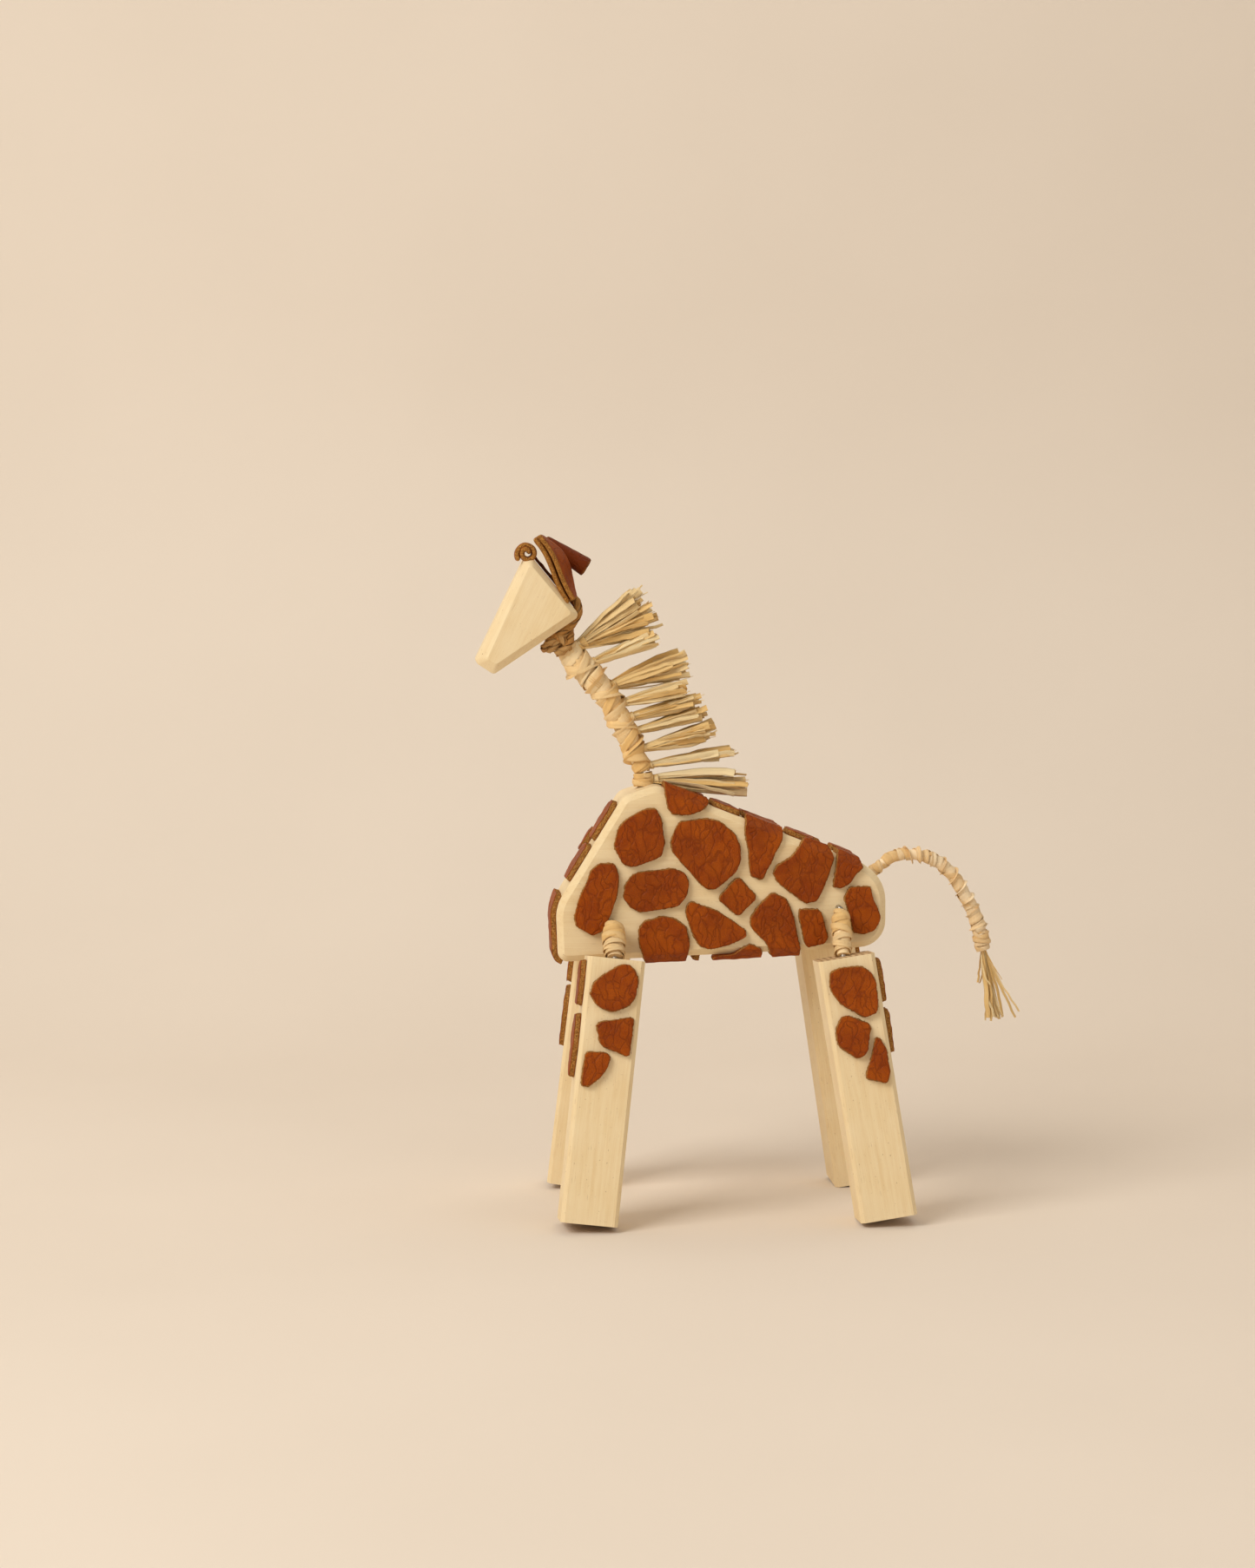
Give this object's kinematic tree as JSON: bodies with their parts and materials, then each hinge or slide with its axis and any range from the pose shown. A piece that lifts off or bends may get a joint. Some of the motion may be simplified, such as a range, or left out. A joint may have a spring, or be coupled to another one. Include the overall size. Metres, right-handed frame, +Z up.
{
  "type": "giraffe figure",
  "caption": "Small standing giraffe figure of cream painted wood, with leather spots and ears, raffia-bound wire neck and tail, raffia mane, and square legs hung on wire.",
  "frame": {"origin": "on the ground plane, under the middle of the figure's length and width", "axes": "+Z up, the head points along -X, the tail along +X, the giraffe's left side is -Y"},
  "size_m": [0.1866, 0.0934, 0.2298],
  "materials": {
    "cream_wood": "cream paint on wood, satin",
    "hide": "saddle brown leather with raw edges",
    "raffia": "natural raffia, dry and fibrous",
    "wire": "plain bright wire"
  },
  "bodies": {
    "trunk": {"body_block": "cream_wood", "neck_root_wire": "wire", "neck_root_wrap": "raffia", "mane_tuft_9": "raffia", "tail_root_wire": "wire", "tail_root_wrap": "raffia", "left_side_spots": "hide", "right_side_spots": "hide", "back_spots": "hide", "chest_spots": "hide", "belly_spots": "hide"},
    "neck": {"neck_wire": "wire", "neck_wrap": "raffia", "mane_tuft_1": "raffia", "mane_tuft_2": "raffia", "mane_tuft_3": "raffia", "mane_tuft_4": "raffia", "mane_tuft_5": "raffia", "mane_tuft_6": "raffia", "mane_tuft_7": "raffia", "mane_tuft_8": "raffia"},
    "head": {"head_block": "cream_wood", "head_wire": "wire", "head_wrap": "raffia", "left_ear": "hide", "right_ear": "hide", "forelock_curl": "hide", "poll_strip": "hide"},
    "tail": {"tail_wire": "wire", "tail_wrap": "raffia", "tail_knot": "raffia", "tail_tuft": "raffia"},
    "front_legs": {"front_hip_wire": "wire", "left_front_hip_wrap": "raffia", "right_front_hip_wrap": "raffia", "left_front_leg": "cream_wood", "right_front_leg": "cream_wood", "left_front_leg_spots": "hide", "right_front_leg_spots": "hide"},
    "rear_legs": {"rear_hip_wire": "wire", "left_rear_hip_wrap": "raffia", "right_rear_hip_wrap": "raffia", "left_rear_leg": "cream_wood", "right_rear_leg": "cream_wood", "left_rear_leg_spots": "hide", "right_rear_leg_spots": "hide"}
  },
  "joints": [
    {"name": "neck_bend", "type": "hinge", "parent": "trunk", "child": "neck", "pos_m": [-0.0365, 0, 0.149], "axis": [0, 1, 0], "range_deg": [-6, 4]},
    {"name": "head_nod", "type": "hinge", "parent": "neck", "child": "head", "pos_m": [-0.0625, 0, 0.191], "axis": [0, 1, 0], "range_deg": [-8, 6]},
    {"name": "tail_bend", "type": "hinge", "parent": "trunk", "child": "tail", "pos_m": [0.04531, 0, 0.11693], "axis": [0, 1, 0], "range_deg": [-12, 12]},
    {"name": "front_legs_swing", "type": "hinge", "parent": "trunk", "child": "front_legs", "pos_m": [-0.048, 0, 0.0992], "axis": [0, 1, 0], "range_deg": [-10, 10]},
    {"name": "rear_legs_swing", "type": "hinge", "parent": "trunk", "child": "rear_legs", "pos_m": [0.0285, 0, 0.1035], "axis": [0, 1, 0], "range_deg": [-10, 10]}
  ]
}
